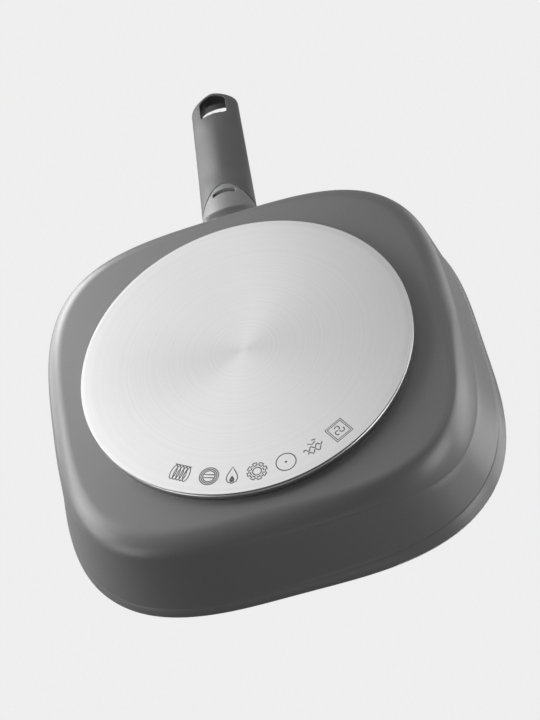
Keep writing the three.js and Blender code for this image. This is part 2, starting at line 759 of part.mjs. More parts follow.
// Hob base: a turned aluminium core with a steel plate on its face
const discRadius = DISC_DIAMETER / 2;
const coreGeometry = turned([
  [0, PLATE_THICKNESS],
  [discRadius - CORE_INSET, PLATE_THICKNESS],
  [discRadius - CORE_INSET, PLATE_THICKNESS + CORE_INSET],
  [discRadius, PLATE_THICKNESS + CORE_INSET * 2],
  [discRadius, standOff],
  [0, standOff],
], RINGS_AROUND);
const plateGeometry = turned([
  [0, 0],
  [discRadius - DISC_BEVEL, 0],
  [discRadius, DISC_BEVEL],
  [discRadius, PLATE_THICKNESS],
  [0, PLATE_THICKNESS],
], RINGS_AROUND);

// Materials
const coated = { color: 0x77777a, roughness: 0.42, metalness: 0.35 };
const softTouch = { color: 0x5f5f61, roughness: 0.62, metalness: 0 };
const steel = { color: 0xd2d2d0, roughness: 0.28, metalness: 1 };
const aluminium = { color: 0xc4c4c2, roughness: 0.35, metalness: 1 };
const darkSteel = { color: 0x8f9092, roughness: 0.4, metalness: 1 };

function piece(name, geometry, look) {
  const mesh = new THREE.Mesh(geometry, new THREE.MeshStandardMaterial(look));
  mesh.name = name;
  return mesh;
}

const pan = new THREE.Group();
pan.add(piece('pan_body', geometryOf(panSolid), coated));
pan.add(piece('base_core', coreGeometry, aluminium));
pan.add(piece('induction_plate', plateGeometry, steel));
[['rivet_left', -1], ['rivet_right', 1]].forEach(([name, side]) => {
  const rivet = piece(name, rivetGeometry, aluminium);
  rivet.applyMatrix4(rivetPlace(side));
  pan.add(rivet);
});

handle.add(piece('handle_bracket', geometryOf(bracketSolid), coated));
handle.add(piece('handle_grip', geometryOf(gripSolid), softTouch));
handle.add(piece('handle_cover', geometryOf(coverSolid), softTouch));
handle.add(piece('tang', geometryOf(tangSolid), darkSteel));
handle.add(piece('latch_pin', pinGeometry, steel));
handle.add(piece('latch', latchGeometry, darkSteel));
handle.add(piece('latch_spring', springGeometry, steel));
handle.add(piece('release_button', geometryOf(buttonSolid), softTouch));
['tang_screw_front', 'tang_screw_rear'].forEach((name, i) => {
  const screw = piece(name, screwGeometry, steel);
  screw.position.x = screwU[i];
  handle.add(screw);
});

const grillPan = new THREE.Group();
grillPan.name = 'grill_pan';
grillPan.add(pan, handle);

export default grillPan;
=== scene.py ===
# %% [markdown]
# # A square grill pan, seen from below
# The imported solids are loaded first. They hold every place and size, in metres, with +Z up out of
# the pan's mouth and +X along the handle. Each piece made later takes its place from them.

import math

import bmesh
import bpy
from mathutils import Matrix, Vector


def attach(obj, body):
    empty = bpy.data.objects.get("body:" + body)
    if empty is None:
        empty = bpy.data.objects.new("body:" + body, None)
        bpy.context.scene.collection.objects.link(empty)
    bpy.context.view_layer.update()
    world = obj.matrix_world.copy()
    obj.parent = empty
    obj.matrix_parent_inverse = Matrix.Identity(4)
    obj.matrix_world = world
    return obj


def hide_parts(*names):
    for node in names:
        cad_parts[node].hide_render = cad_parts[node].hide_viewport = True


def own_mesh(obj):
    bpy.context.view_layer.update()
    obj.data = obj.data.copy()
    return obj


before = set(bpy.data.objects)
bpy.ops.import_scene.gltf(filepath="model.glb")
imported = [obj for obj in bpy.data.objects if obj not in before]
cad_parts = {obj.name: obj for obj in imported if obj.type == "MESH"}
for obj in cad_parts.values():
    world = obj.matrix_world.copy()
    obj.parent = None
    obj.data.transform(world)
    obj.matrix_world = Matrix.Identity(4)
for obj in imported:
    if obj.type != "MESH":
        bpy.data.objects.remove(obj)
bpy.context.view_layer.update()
MM = 0.001

# %% [markdown]
# ## The camera
# The photograph looks up at the pan's base with a long lens, from below and from the side that is
# away from the handle. The place, turn and lens were found by lining up the base disc, the rim and
# the handle, so the camera is set by numbers instead of by eye.

# %% Place the camera
CAMERA_PLACE = (-0.59273, 0.10482, -0.66909)
CAMERA_TURN = (-2.463517, -0.265807, 1.728730)
CAMERA_LENS = 84.435

bpy.ops.object.select_all(action="DESELECT")
bpy.ops.object.camera_add(location=CAMERA_PLACE, rotation=CAMERA_TURN)
camera = bpy.context.object
camera.name = "photo_camera"
camera.data.lens = CAMERA_LENS
camera.data.clip_start = 0.01
camera.data.clip_end = 50
bpy.context.scene.camera = camera
bpy.context.scene.view_settings.view_transform = "Standard"
print("camera at", [round(x, 3) for x in camera.location], "lens", round(camera.data.lens, 1))

# %% [markdown]
# ## The backdrop
# The backdrop is one pale grey for the camera. Shiny surfaces see a dimmer version of it, so the steel
# never turns black from another side. All other rays see a dim sky, so the lamps keep the say over
# light and shade. A Light Path node tells these rays apart.


# %% Make the backdrop
def grey(level):
    return (level, level, level, 1)


def wire(tree, *runs):
    """Links nodes: each run gives a node, its output, the next node and its input."""
    for giver, output, taker, entry in runs:
        tree.links.new(giver.outputs[output], taker.inputs[entry])


def background(tree, level):
    """A node that sends the same grey light from all round."""
    light = tree.nodes.new("ShaderNodeBackground")
    light.inputs["Color"].default_value = grey(level)
    return light


PALE, SHINE, SKY = 0.859, 0.25, 0.015
world = bpy.data.worlds.new("pale_backdrop")
bpy.context.scene.world = world
world.use_nodes = True
tree = world.node_tree
tree.nodes.clear()
path = tree.nodes.new("ShaderNodeLightPath")
sky, shine, backdrop = (background(tree, level) for level in (SKY, SHINE, PALE))
around = tree.nodes.new("ShaderNodeMixShader")
mix = tree.nodes.new("ShaderNodeMixShader")
out = tree.nodes.new("ShaderNodeOutputWorld")
wire(tree, (path, "Is Glossy Ray", around, 0), (sky, 0, around, 1), (shine, 0, around, 2),
     (path, "Is Camera Ray", mix, 0), (around, 0, mix, 1), (backdrop, 0, mix, 2), (mix, 0, out, "Surface"))
print("backdrop level", PALE, "in shiny surfaces", SHINE)

# %% [markdown]
# ## The floor's paint
# A studio floor is a wide pale sheet that takes the pan's shadow. Only the camera may see this one,
# and only from above, so lamps below it still reach the pan. Three factors are multiplied for that:
# the ray comes from the camera, it meets the upper side, and the point is near the pan. The last one
# fades out slowly, so no edge or lamp spill shows.

# %% Mix the floor's paint
FLOOR_FULL, FLOOR_GONE = 0.26, 0.5
FLOOR_GREY, FLOOR_GLOW = 0.8, 0.26

floor_look = bpy.data.materials.new("pale_floor")
floor_look.use_nodes = True
tree = floor_look.node_tree
tree.nodes.clear()
path = tree.nodes.new("ShaderNodeLightPath")
side = tree.nodes.new("ShaderNodeNewGeometry")
place = tree.nodes.new("ShaderNodeTexCoord")
away = tree.nodes.new("ShaderNodeVectorMath")
away.operation = "LENGTH"
fade = tree.nodes.new("ShaderNodeMapRange")
fade.interpolation_type = "SMOOTHSTEP"
fade.inputs["From Min"].default_value = FLOOR_FULL
fade.inputs["From Max"].default_value = FLOOR_GONE
fade.inputs["To Min"].default_value = 1
fade.inputs["To Max"].default_value = 0
upper, facing, shown = (tree.nodes.new("ShaderNodeMath") for _ in range(3))
upper.operation = "SUBTRACT"
upper.inputs[0].default_value = 1
facing.operation = "MULTIPLY"
shown.operation = "MULTIPLY"
wire(tree, (place, "Object", away, 0), (away, "Value", fade, "Value"), (side, "Backfacing", upper, 1),
     (upper, 0, facing, 0), (path, "Is Camera Ray", facing, 1), (facing, 0, shown, 0),
     (fade, "Result", shown, 1))
print("floor full to", FLOOR_FULL, "m, gone at", FLOOR_GONE, "m")

# %% [markdown]
# The sheet itself is matt paint with a little glow of its own, which lifts it to the backdrop's grey.
# It lies just under the disc, so the pan seems to stand on it.

# %% Lay the floor
FLOOR_SIZE = 1.2
FLOOR_PLACE = (0.08, 0, -0.0004)

clear = tree.nodes.new("ShaderNodeBsdfTransparent")
paint = tree.nodes.new("ShaderNodeBsdfDiffuse")
paint.inputs["Color"].default_value = grey(FLOOR_GREY)
glow = tree.nodes.new("ShaderNodeEmission")
glow.inputs["Strength"].default_value = FLOOR_GLOW
sheet = tree.nodes.new("ShaderNodeAddShader")
mix = tree.nodes.new("ShaderNodeMixShader")
out = tree.nodes.new("ShaderNodeOutputMaterial")
wire(tree, (paint, 0, sheet, 0), (glow, 0, sheet, 1), (shown, 0, mix, 0), (clear, 0, mix, 1),
     (sheet, 0, mix, 2), (mix, 0, out, "Surface"))
bpy.ops.object.select_all(action="DESELECT")
bpy.ops.mesh.primitive_plane_add(size=FLOOR_SIZE, location=FLOOR_PLACE)
floor = bpy.context.object
floor.name = "floor"
floor.data.materials.append(floor_look)
print("floor", [round(x, 2) for x in floor.dimensions[:2]])

# %% [markdown]
# ## The lamps
# The photograph shows a bright band down the disc, a light left wall and a darker right one. Large
# soft lamps give that: one card under the disc, a few low ones on either side and one overhead. Each
# power was found by rendering the lamps one at a time and weighing them against the photograph.

# %% Hang the lamps
AIM = (0.02, 0, 0.01)


def softbox(name, place, size, power):
    """A square soft lamp that faces the pan and stays out of the picture itself."""
    bpy.ops.object.select_all(action="DESELECT")
    turn = (Vector(AIM) - Vector(place)).to_track_quat("-Z", "Y").to_euler()
    bpy.ops.object.light_add(type="AREA", location=place, rotation=turn)
    lamp = bpy.context.object
    lamp.name = name
    lamp.data.size = size
    lamp.data.energy = power
    lamp.visible_camera = False
    return lamp


# Each lamp has a name, a place, a size in metres and a power in watts.
lamps = [
    softbox("disc_card", (0.5215, -0.3011, -0.6688), 0.9, 2.6),
    softbox("handle_side", (0.8, -0.5, -0.25), 0.4, 4.3),
    softbox("handle_left", (0.45, -0.4, 0), 0.4, 1.1),
    softbox("near_left", (0.1, -0.3, -0.2), 0.2, 0.66),
    softbox("near_left_level", (0, -0.4, -0.15), 0.25, 0.88),
    softbox("front_left", (-0.3, -0.45, -0.1), 0.25, 0.5),
    softbox("front", (-0.7, 0, 0.1), 0.3, 0.15),
    softbox("spout_right", (-0.3, 0.45, 0), 0.25, 0.85),
    softbox("side_right", (0, 0.5, -0.1), 0.3, 0.3),
    softbox("low_right", (0.3, 0.45, -0.65), 0.4, 0.5),
    softbox("level_right", (0.3, 0.75, -0.1), 0.5, 0.8),
    softbox("high_right", (0.1, 0.8, 0.2), 0.5, 2.3),
    softbox("rear_right", (0.6147, 0.6147, 0.2329), 0.45, 0.7),
    softbox("top", (0.1, 0.1, 1.3), 1.0, 9),
]
print("lamps hung:", len(lamps))

# %% [markdown]
# ## Fine grain, a shared effect
# A sprayed coat, a moulded grip and stamped steel all have a skin that is not quite even. One node
# group gives that grain: a mask that shifts colour and roughness a little, and a height for a Bump
# node. It reads Object coordinates, so the grain stays with its piece.


# %% Build the grain group
def new_group(name, inputs):
    """A shader group with the given float inputs, and a mask and a height as outputs."""
    group = bpy.data.node_groups.new(name, "ShaderNodeTree")
    for label, value in inputs:
        socket = group.interface.new_socket(label, in_out="INPUT", socket_type="NodeSocketFloat")
        socket.default_value = value
    for label in ("Mask", "Height"):
        group.interface.new_socket(label, in_out="OUTPUT", socket_type="NodeSocketFloat")
    return group, group.nodes.new("NodeGroupInput"), group.nodes.new("NodeGroupOutput")


def noise_in(group, dimensions, detail):
    noise = group.nodes.new("ShaderNodeTexNoise")
    noise.noise_dimensions = dimensions
    noise.inputs["Detail"].default_value = detail
    return noise


def mean_of(group, first, second):
    """A node that gives the mean of two noises."""
    halve, mean = (group.nodes.new("ShaderNodeMath") for _ in range(2))
    halve.operation = "MULTIPLY"
    mean.operation = "MULTIPLY_ADD"
    halve.inputs[1].default_value = mean.inputs[1].default_value = 0.5
    wire(group, (second, "Fac", halve, 0), (first, "Fac", mean, 0), (halve, 0, mean, 2))
    return mean


grain, entry, leave = new_group("fine_grain", [("Scale", 900), ("Patch Scale", 30)])
spot = grain.nodes.new("ShaderNodeTexCoord")
fine = noise_in(grain, "3D", 3)
patch = noise_in(grain, "3D", 2)
wire(grain, (spot, "Object", fine, "Vector"), (spot, "Object", patch, "Vector"),
     (entry, "Scale", fine, "Scale"), (entry, "Patch Scale", patch, "Scale"),
     (mean_of(grain, fine, patch), 0, leave, "Mask"), (fine, "Fac", leave, "Height"))
print("group", grain.name, "with", len(grain.nodes), "nodes")

# %% [markdown]
# ## Turning marks, a shared effect
# The base was faced on a lathe, which leaves fine rings about its middle. Rings depend on one thing,
# the distance from the axis, so noise is read along that distance alone. A second, wider noise makes
# some groups of rings brighter than others, as a worn tool does.

# %% Build the turning group
turning, entry, leave = new_group("turning_marks", [("Fine", 2600), ("Wide", 160)])
spot = turning.nodes.new("ShaderNodeTexCoord")
split = turning.nodes.new("ShaderNodeSeparateXYZ")
flat = turning.nodes.new("ShaderNodeCombineXYZ")
far = turning.nodes.new("ShaderNodeVectorMath")
far.operation = "LENGTH"
fine = noise_in(turning, "1D", 4)
wide = noise_in(turning, "1D", 3)
wire(turning, (spot, "Object", split, 0), (split, "X", flat, "X"), (split, "Y", flat, "Y"),
     (flat, 0, far, 0), (far, "Value", fine, "W"), (far, "Value", wide, "W"),
     (entry, "Fine", fine, "Scale"), (entry, "Wide", wide, "Scale"),
     (mean_of(turning, fine, wide), 0, leave, "Mask"), (fine, "Fac", leave, "Height"))
print("group", turning.name, "with", len(turning.nodes), "nodes")

# %% [markdown]
# ## Finishes
# Each finish is a Principled shader. The group's mask runs through two nodes, a Mix for the colour's
# spread and a Map Range for the roughness, and its height runs through a Bump node. Numbers that are
# the same all over the piece are set on the shader's own sockets.

# %% Write the recipe for a finish
MASK_LOW, MASK_HIGH = 0.25, 0.75


def finish_of(name, group, scales, tones, rough, depth, metal=0.0, gloss=0.5):
    """A Principled finish whose colour, roughness and bump follow one of the groups."""
    look = bpy.data.materials.new(name)
    look.use_nodes = True
    tree = look.node_tree
    shader = tree.nodes["Principled BSDF"]
    shader.inputs["Metallic"].default_value = metal
    shader.inputs["Specular IOR Level"].default_value = gloss
    effect = tree.nodes.new("ShaderNodeGroup")
    effect.node_tree = group
    for label, value in scales.items():
        effect.inputs[label].default_value = value
    tone = tree.nodes.new("ShaderNodeMix")
    tone.data_type = "RGBA"
    tone.inputs["A"].default_value = grey(tones[0])
    tone.inputs["B"].default_value = grey(tones[1])
    matt = tree.nodes.new("ShaderNodeMapRange")
    matt.inputs["From Min"].default_value = MASK_LOW
    matt.inputs["From Max"].default_value = MASK_HIGH
    matt.inputs["To Min"].default_value = rough[0]
    matt.inputs["To Max"].default_value = rough[1]
    bump = tree.nodes.new("ShaderNodeBump")
    bump.inputs["Strength"].default_value = 1
    bump.inputs["Distance"].default_value = depth
    wire(tree, (effect, "Mask", tone, "Factor"), (tone, "Result", shader, "Base Color"),
         (effect, "Mask", matt, "Value"), (matt, "Result", shader, "Roughness"),
         (effect, "Height", bump, "Height"), (bump, "Normal", shader, "Normal"))
    return look


print("mask used from", MASK_LOW, "to", MASK_HIGH)

# %% [markdown]
# The pan and its neck are sprayed in two greys. The grip is darker and softer. The base is bright
# steel over aluminium, and the parts of the catch are plain steel. For each finish the darkest and
# lightest grey, the range of roughness and the depth of the grain in metres are given.

# %% Make the finishes
coated = finish_of("coated_casting", grain, {"Scale": 1100, "Patch Scale": 25},
                   tones=(0.15, 0.176), rough=(0.3, 0.35), depth=0.000006, gloss=0.4)
neck_coat = finish_of("neck_coat", grain, {"Scale": 1400, "Patch Scale": 40},
                      tones=(0.2, 0.232), rough=(0.38, 0.44), depth=0.000006, gloss=0.35)
soft_touch = finish_of("soft_touch", grain, {"Scale": 2200, "Patch Scale": 60},
                       tones=(0.083, 0.106), rough=(0.42, 0.5), depth=0.00001, gloss=0.45)
turned_steel = finish_of("turned_steel", turning, {"Fine": 2600, "Wide": 800},
                         tones=(0.46, 0.6), rough=(0.31, 0.39), depth=0.000003, metal=1)
turned_aluminium = finish_of("turned_aluminium", turning, {"Fine": 3000, "Wide": 400},
                             tones=(0.5, 0.6), rough=(0.32, 0.4), depth=0.000002, metal=1)
plain_steel = finish_of("plain_steel", grain, {"Scale": 1500, "Patch Scale": 80},
                        tones=(0.4, 0.5), rough=(0.3, 0.42), depth=0.000004, metal=1)
etched = finish_of("etched_marks", grain, {"Scale": 3000, "Patch Scale": 200},
                   tones=(0.05, 0.09), rough=(0.55, 0.7), depth=0.000004)
for look in (coated, neck_coat, soft_touch, turned_steel, turned_aluminium, plain_steel, etched):
    print("finish", look.name)

# %% [markdown]
# Two finishes need one thing more. The wall of the grip's hanging hole is darkened almost to black: this
# is painted shade, standing in for the shadow inside the hole. An attribute on the grip's points will say
# where that is, and a Mix node changes the colour there. The turned steel stretches each highlight across
# its rings, so its shader gets a tangent that runs round the disc's axis.

# %% Add the painted shade in the hanging hole and the lathe's highlight
# Painted shade: the wall of the hanging hole is darkened to this grey, as if it lay in shadow.
HOLE_SHADE_GREY = 0.012
LATHE_STRETCH = 0.45

tree = soft_touch.node_tree
shader = tree.nodes["Principled BSDF"]
shaded_hole = tree.nodes.new("ShaderNodeAttribute")
shaded_hole.attribute_name = "painted_hole_shade"
hole_darkening = tree.nodes.new("ShaderNodeMix")
hole_darkening.data_type = "RGBA"
hole_darkening.inputs["B"].default_value = grey(HOLE_SHADE_GREY)
tree.links.new(shader.inputs["Base Color"].links[0].from_socket, hole_darkening.inputs["A"])
wire(tree, (shaded_hole, "Fac", hole_darkening, "Factor"), (hole_darkening, "Result", shader, "Base Color"))

tree = turned_steel.node_tree
shader = tree.nodes["Principled BSDF"]
shader.inputs["Anisotropic"].default_value = LATHE_STRETCH
lathe = tree.nodes.new("ShaderNodeTangent")
lathe.direction_type = "RADIAL"
lathe.axis = "Z"
wire(tree, (lathe, "Tangent", shader, "Tangent"))
print("bare moulding", HOLE_SHADE_GREY, "lathe stretch", LATHE_STRETCH)

# %% [markdown]
# ## The casting
# The pan is one casting: base, wall, spout, lip and ribbed floor. Seen from above each level of it is
# a rounded square, so it is drawn up like a pot on a wheel: one ring of points is extruded again and
# again, and each new ring is set to its width and height. The rounded square is a superellipse, whose
# power is a little higher at the base than at the rim. All measures are in millimetres.

# %% The casting's measures
RIM_HALF = 123.5
PAN_HEIGHT = 54.0
WALL = 3.5
STAND = 5.6
FLOOR_TOP = 10.6
FLARE = math.radians(12.1)
SHOULDER = 12.0
INNER_ROUND = 9.0
LIP_START = 48.0
LIP_STEP = 0.6
BASE_POWER, RIM_POWER = 3.45, 3.15


def share_of(value, low, high):
    """How far a value is on its way from low to high, from 0 to 1."""
    return min(max((value - low) / (high - low), 0), 1)


def squircle(half, power, angle):
    return half * (abs(math.cos(angle)) ** power + abs(math.sin(angle)) ** power) ** (-1 / power)


def power_at(z):
    return BASE_POWER + (RIM_POWER - BASE_POWER) * share_of(z, STAND, PAN_HEIGHT)


def wall_half(z):
    return RIM_HALF - LIP_STEP - (PAN_HEIGHT - z) * math.tan(FLARE)


print("wall at the base", round(wall_half(STAND), 1), "mm, at the lip", round(wall_half(LIP_START), 1), "mm")

# %% [markdown]
# From the flat base the skin rounds a shoulder and then runs up the flared wall. Both together are one
# profile, measured by the distance along it. That one number can then say where the spout's crease
# is, also where the crease runs down into the shoulder.

# %% Measure along the profile
MIDDLE = wall_half(STAND + SHOULDER) - SHOULDER / math.cos(FLARE)
ARC = SHOULDER * (math.pi / 2 - FLARE)


def profile(along):
    """Half width and height at a distance along the shoulder and the wall."""
    turn = min(along / SHOULDER, math.pi / 2 - FLARE)
    straight = max(along - ARC, 0)
    half = MIDDLE + SHOULDER * math.sin(turn) + straight * math.sin(FLARE)
    return half, STAND + SHOULDER * (1 - math.cos(turn)) + straight * math.cos(FLARE)


def along_at(z):
    """The distance along the profile at which the wall reaches a height."""
    return ARC + (z - STAND - SHOULDER * (1 - math.sin(FLARE))) / math.cos(FLARE)


TOP = along_at(LIP_START)
print("profile", round(TOP, 1), "mm long, of it shoulder", round(ARC, 1), "mm")

# %% [markdown]
# The spout takes the corner that is away from the handle. Its crease runs level round the corner and
# then dips into the shoulder of the front wall, where it dies out. Each feature of the spout has a
# middle, as an angle in degrees about the pan, and fades out smoothly to either side of it.

# %% Lay out the spout
CREASE_HIGH, CREASE_DIP = 26.4, 11.0
DIP_START, DIP_END = 128, 164
SPOUT_MIDDLE, SPOUT_SIDE_SPAN, SPOUT_FRONT_SPAN = 126, 40, 54
LIP_MIDDLE, LIP_SPAN = 137, 54


def hump(angle, middle, span):
    """1 at the middle angle, falling smoothly to 0 at span to each side."""
    apart = abs(math.remainder(angle - math.radians(middle), math.tau))
    return math.cos(min(apart / math.radians(span), 1) * math.pi / 2) ** 2


def smooth_step(value, low, high):
    share = share_of(value, low, high)
    return share * share * (3 - 2 * share)


def degrees_of(angle):
    """An angle in degrees, from 0 to 360."""
    return math.degrees(angle) % 360


def crease_at(angle):
    """How far along the profile the crease is at an angle."""
    return CREASE_HIGH - CREASE_DIP * smooth_step(degrees_of(angle), DIP_START, DIP_END)


def spout_share(angle):
    """How much of the spout an angle has, with a long run-out along the front wall."""
    before = degrees_of(angle) < SPOUT_MIDDLE
    return hump(angle, SPOUT_MIDDLE, SPOUT_SIDE_SPAN if before else SPOUT_FRONT_SPAN)


def lip_share(angle):
    return hump(angle, LIP_MIDDLE, LIP_SPAN)


print("crease", CREASE_HIGH, "mm along the profile, at its low end", CREASE_HIGH - CREASE_DIP, "mm")

# %% [markdown]
# Below the crease the round shoulder gives way to an almost flat facet that is drawn in a little. Just
# above it lies a fine groove, and from there the wall leans out to the lip.

# %% Shape the spout
TUCK, TUCK_FADE, TUCK_BEND = 2.9, 0.7, 7
FACET, FACET_FADE = 0.75, 0.4
FACET_START, FACET_RISE = 3.5, 11.0
RISE_LOW_END, RISE_HIGH_END = 115, 90
GROOVE, GROOVE_FADE = 0.35, 0.5
LEAN, LEAN_BEND = 1.6, 1.2


def facet_start(angle):
    """Where the facet begins, higher at its narrow end next to the side wall."""
    before = share_of(degrees_of(angle), RISE_LOW_END, RISE_HIGH_END)
    return FACET_START + FACET_RISE * before * before


def facet_shift(along, start, crease, tuck):
    """How far in a straight facet from its start to the crease lies from the round shoulder."""
    if along < start:
        return 0
    half, z = profile(along)
    low_half, low = profile(start)
    high_half, high = profile(crease)
    return low_half + (high_half - tuck - low_half) * (z - low) / (high - low) - half


def spout_shift(angle, along):
    """How far the spout moves the wall out, or in where negative."""
    crease = crease_at(angle)
    share = spout_share(angle)
    tuck = TUCK * share ** TUCK_FADE
    if along < crease:
        flat = FACET * share ** FACET_FADE
        facet = facet_shift(along, facet_start(angle), crease, tuck)
        return -tuck * max(along / crease, 0) ** TUCK_BEND * (1 - flat) + flat * facet
    climb = min((along - crease) / (TOP - crease), 1)
    groove = GROOVE * share ** GROOVE_FADE * (along - crease) * math.exp(1 - along + crease)
    return -tuck - groove + (tuck + LEAN * lip_share(angle)) * climb ** LEAN_BEND


print("tuck", TUCK, "mm, lean", LEAN, "mm")

# %% [markdown]
# A row is a rule that gives, for each angle, how far out and how high a point is. The rows run from
# the middle of the base outward, round the shoulder, up the wall, over the rim and down the inside.
# The front wall, opposite the handle, leans a little more than the others.

# %% Write the rules for the rows
FRONT_LEAN, FRONT_MIDDLE, FRONT_SPAN = 4.2, 212, 75
SPOUT_LIP = 1.0
LIP_DROP = 2.0
LIP_LEDGE, SPOUT_LEDGE = 0.28, 0.3
LIP_INSET, LIP_RISE, LIP_TOP = 0.12, 0.4, 52.0


def wall_shift(angle, along):
    """How far the spout and the lean of the front wall move the wall out."""
    lean = FRONT_LEAN * hump(angle, FRONT_MIDDLE, FRONT_SPAN) * min(max(1 - along / TOP, 0), 1)
    return spout_shift(angle, along) - lean


def wall_row(share):
    """A row on the outside, where 0 is the flat base, 1 the crease and 2 the lip."""
    def place(angle):
        crease = crease_at(angle)
        top = TOP - LIP_STEP - LIP_DROP * lip_share(angle)
        along = crease * share if share <= 1 else crease + (top - crease) * (share - 1)
        half, z = profile(along)
        return squircle(half, power_at(z), angle) + wall_shift(angle, along), z
    return place


def inside_row(half, z):
    return lambda angle: (squircle(half, power_at(z), angle) + wall_shift(angle, along_at(z)), z)


def lip_shift(angle):
    return (LEAN + SPOUT_LIP) * lip_share(angle)


def rim_row(half, z):
    return lambda angle: (squircle(half, power_at(z), angle) + lip_shift(angle), z)


def lip_row(share, gap=0.0):
    """A row on the lip's outer face, from its foot just outside the wall to the rim."""
    def place(angle):
        foot, low = wall_row(2)(angle)
        foot += LIP_LEDGE + SPOUT_LEDGE * lip_share(angle) - gap
        rim = squircle(RIM_HALF - LIP_INSET, power_at(LIP_TOP + LIP_RISE), angle) + lip_shift(angle)
        return foot + (rim - foot) * share, low + LIP_RISE - gap + (LIP_TOP - low) * share
    return place


print("front wall leans", FRONT_LEAN, "mm further, the lip overhangs", LEAN + SPOUT_LIP, "mm at the spout")

# %% [markdown]
# On the way up the rows keep level with the crease and lie closer together next to it, so that it
# stays crisp. The rim is rounded by a few rows of its own. Inside, the rows follow the outside at the
# wall's thickness and round off into the floor.

# %% List the rows of the casting
CREASE_ROWS, CLIMB_ROWS, CROWDING = 26, 18, 1.5
OUTER_RIM = [(0.3, 53.3), (0.9, 53.85), (1.6, 54)]
INNER_RIM = [(1.2, 54), (0.4, 53.75), (0, 53)]
INSIDE_ROWS, ROUND_ROWS, ROUND_GAP = 14, 10, 0.6
BASE_MIDDLE = 0.6
LEDGE_GAP = 0.2


def inner_half(z):
    return wall_half(z) - WALL / math.cos(FLARE)


def floor_round(i):
    """Half width and height on the round between the floor and the inner wall."""
    turn = i / ROUND_ROWS * (math.pi / 2 - FLARE)
    middle = inner_half(FLOOR_TOP + INNER_ROUND) - INNER_ROUND / math.cos(FLARE)
    return middle + INNER_ROUND * math.sin(turn), FLOOR_TOP + INNER_ROUND * (1 - math.cos(turn))


crease_shares = [1 - (1 - i / CREASE_ROWS) ** CROWDING for i in range(CREASE_ROWS + 1)]
climb_shares = [1 + (i / CLIMB_ROWS) ** CROWDING for i in range(1, CLIMB_ROWS + 1)]
rows = [lambda angle: (squircle(MIDDLE * BASE_MIDDLE, power_at(STAND), angle), STAND)]
rows += [wall_row(share) for share in crease_shares + climb_shares]
rows += [lip_row(0, LEDGE_GAP), lip_row(0), lip_row(0.5), lip_row(1)]
rows += [rim_row(RIM_HALF - inset, z) for inset, z in OUTER_RIM]
rows += [rim_row(inner_half(PAN_HEIGHT) + outset, z) for outset, z in INNER_RIM]
floor_rows = [floor_round(i) for i in range(ROUND_ROWS + 1)]
low = floor_rows[-1][1] + ROUND_GAP
heights = [LIP_START - (LIP_START - low) * i / INSIDE_ROWS for i in range(INSIDE_ROWS + 1)]
rows += [inside_row(inner_half(z), z) for z in heights]
rows += [inside_row(half, z) for half, z in reversed(floor_rows)]
print("rows in the casting:", len(rows))

# %% [markdown]
# The rings are now extruded one from the other. Both ends, the middle of the base and of the floor,
# are closed with a face.

# %% Draw the casting up ring by ring
AROUND = 240
FIRST_RING = 0.05


def draw_up(name, rows):
    """Extrudes a ring of points along the rows and closes both ends."""
    bpy.ops.object.select_all(action="DESELECT")
    bpy.ops.mesh.primitive_circle_add(vertices=AROUND, radius=FIRST_RING, fill_type="NOTHING")
    piece = bpy.context.object
    piece.name = name
    bpy.ops.object.mode_set(mode="EDIT")
    bpy.ops.mesh.select_mode(type="EDGE")
    for i, row in enumerate(rows):
        if i:
            bpy.ops.mesh.extrude_edges_move()
        skin = bmesh.from_edit_mesh(piece.data)
        for point in skin.verts:
            if point.select:
                angle = math.atan2(point.co.y, point.co.x)
                out, z = row(angle)
                point.co = (out * MM * math.cos(angle), out * MM * math.sin(angle), z * MM)
        bmesh.update_edit_mesh(piece.data)
    bpy.ops.mesh.edge_face_add()
    bpy.ops.mesh.select_all(action="SELECT")
    bpy.ops.mesh.fill_holes(sides=0)
    bpy.ops.mesh.normals_make_consistent(inside=False)
    bpy.ops.object.mode_set(mode="OBJECT")
    return piece


casting = draw_up("pan_casting", rows)
print(casting.name, len(casting.data.vertices), "points")

# %% [markdown]
# Each rib starts as a block. Its top is drawn in to a ridge, its ends slope down to the floor and its
# edges are rounded by a bevel. The ribs differ in length, because the floor is a rounded square, so
# each is made at its own length.

# %% Make the grill ribs
RIB_PITCH, RIB_FOOT, RIB_HEIGHT = 14.0, 5.4, 3.0
RIB_SINK, RIB_SLOPE, RIB_TOP_SHARE = 1, 5, 0.5
RIB_ROUND, ROUND_FROM, ROUND_STEPS = 0.9, 1.2, 4
FACES_UP = 0.9
RIB_MARGIN = 8.0
RIB_FIELD = floor_rows[0][0] - RIB_MARGIN


